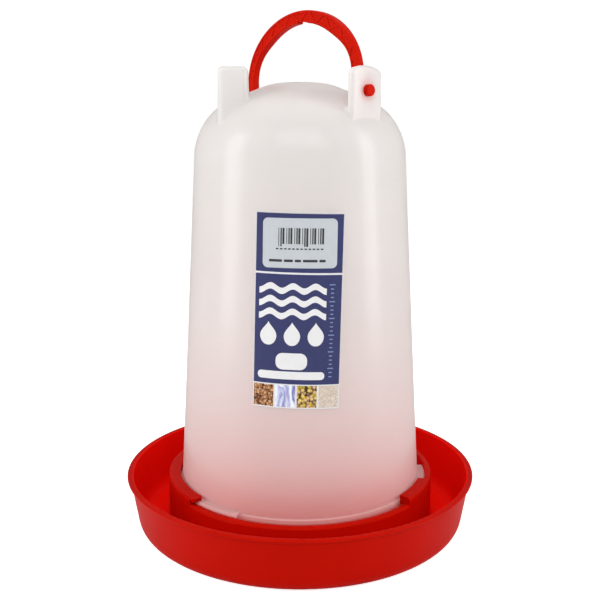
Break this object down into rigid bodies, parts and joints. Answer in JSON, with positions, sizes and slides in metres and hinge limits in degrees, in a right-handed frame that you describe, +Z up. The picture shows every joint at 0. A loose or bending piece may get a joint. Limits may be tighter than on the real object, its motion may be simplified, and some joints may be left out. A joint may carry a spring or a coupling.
{
  "type": "poultry drinker",
  "caption": "Gravity poultry drinker: an upturned translucent fount twist-locked into a round red trough, carried by a red bail handle.",
  "frame": {"origin": "centre of the trough's underside, on the floor", "axes": "+Z up along the axis of trough and fount; -Y is the side with the label; +X to the right of a viewer facing the label"},
  "size_m": [0.21, 0.21, 0.2996],
  "materials": {
    "trough_red": "gloss",
    "fount_white": "translucent satin",
    "handle_red": "satin gloss",
    "label_print": "printed film",
    "sticker_print": "printed film"
  },
  "bodies": {
    "trough": {"trough_base": "trough_red"},
    "fount_body": {"fount": "fount_white", "label": "label_print", "price_sticker": "sticker_print"},
    "bail": {"handle": "handle_red"}
  },
  "joints": [
    {"name": "fount_twist", "type": "hinge", "parent": "trough", "child": "fount_body", "pos_m": [0, 0, 0.0062], "axis": [0, 0, 1], "range_deg": [0, 10.25]},
    {"name": "handle_swing", "type": "hinge", "parent": "fount_body", "child": "bail", "pos_m": [0, 0, 0.2538], "axis": [0.6561, -0.7547, 0], "range_deg": [-88, 60]}
  ]
}
